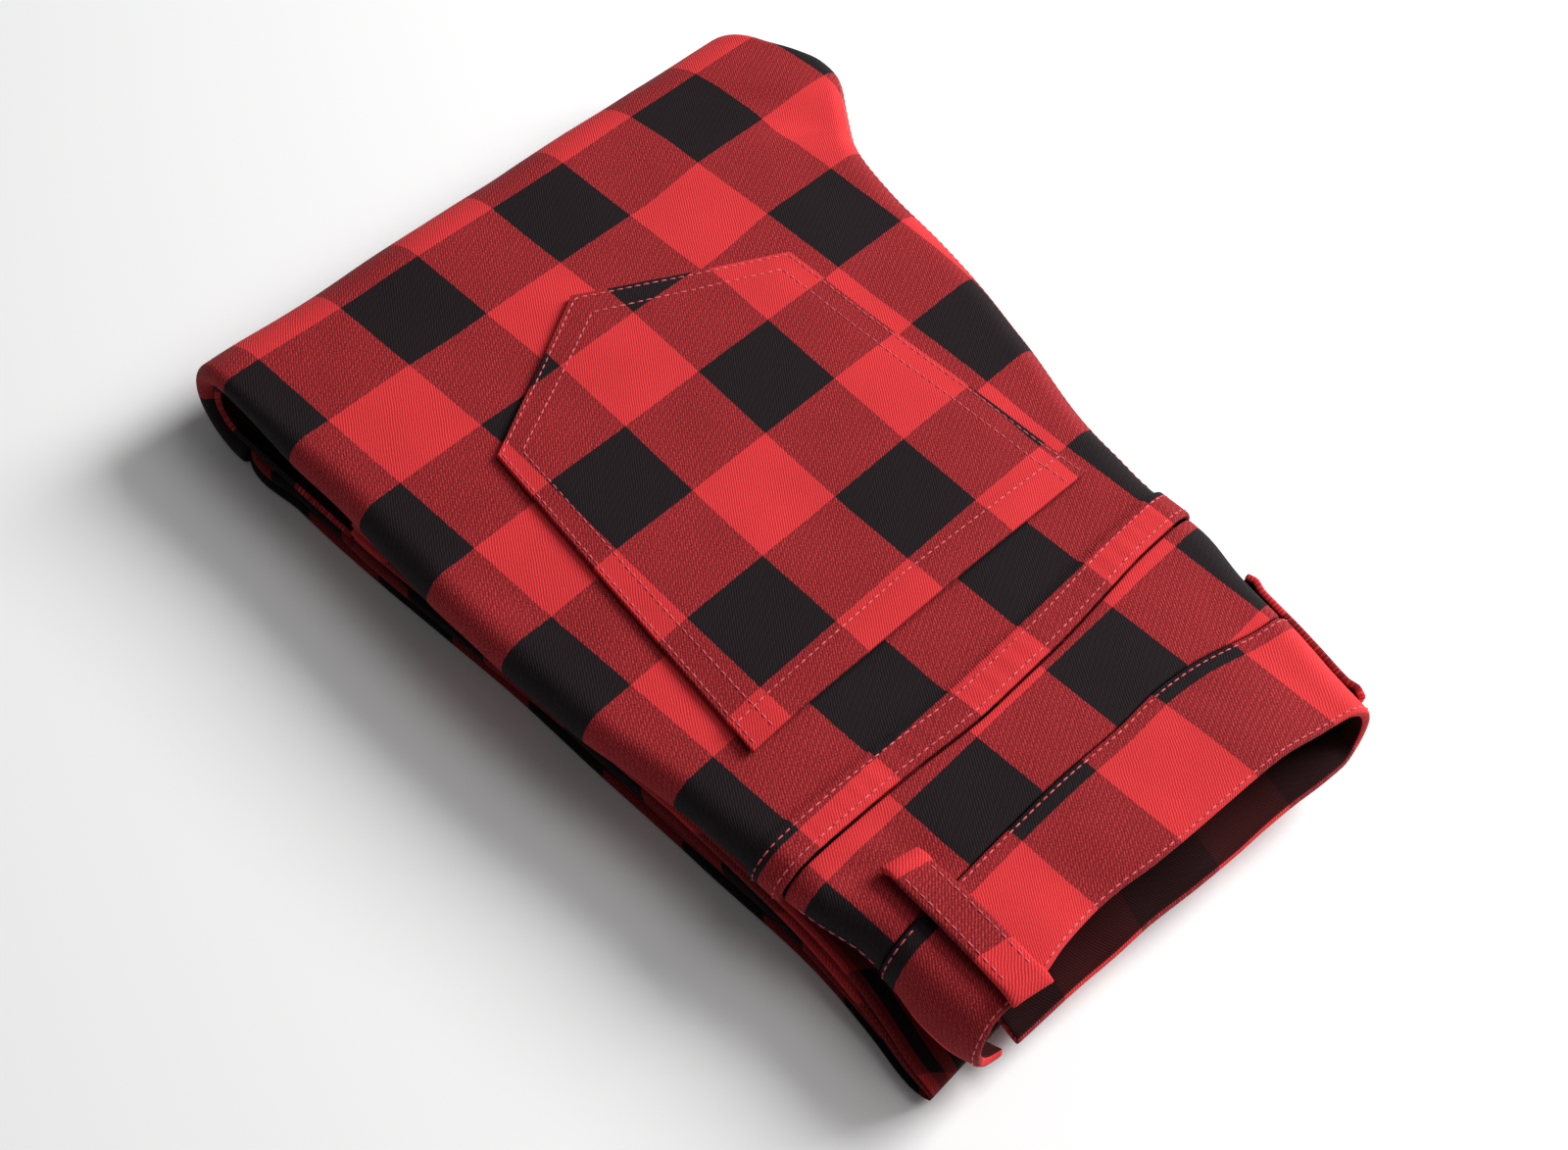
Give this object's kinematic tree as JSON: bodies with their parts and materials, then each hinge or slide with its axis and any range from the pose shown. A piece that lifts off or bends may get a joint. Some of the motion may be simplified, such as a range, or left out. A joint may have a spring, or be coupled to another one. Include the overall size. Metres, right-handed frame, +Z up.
{
  "type": "slim fit jeans, folded",
  "caption": "Slim fit jeans folded flat in thirds, back half up, with back pocket, yoke, waistband and belt loops in a red and black buffalo check twill.",
  "frame": {"origin": "centre of the bounding box at the surface that the folded jeans rest on", "axes": "+X from the thigh fold to the waist, +Y from the side to the centre back seam, +Z up"},
  "size_m": [0.3361, 0.2551, 0.0432],
  "materials": {
    "check_cloth": "matte"
  },
  "bodies": {
    "root": {"back_panel": "check_cloth", "yoke": "check_cloth", "waistband": "check_cloth", "waistband_front": "check_cloth", "second_back_panel": "check_cloth", "second_leg": "check_cloth", "back_pocket": "check_cloth", "belt_loop_side": "check_cloth", "belt_loop_back": "check_cloth", "folded_layers": "check_cloth"}
  },
  "joints": []
}
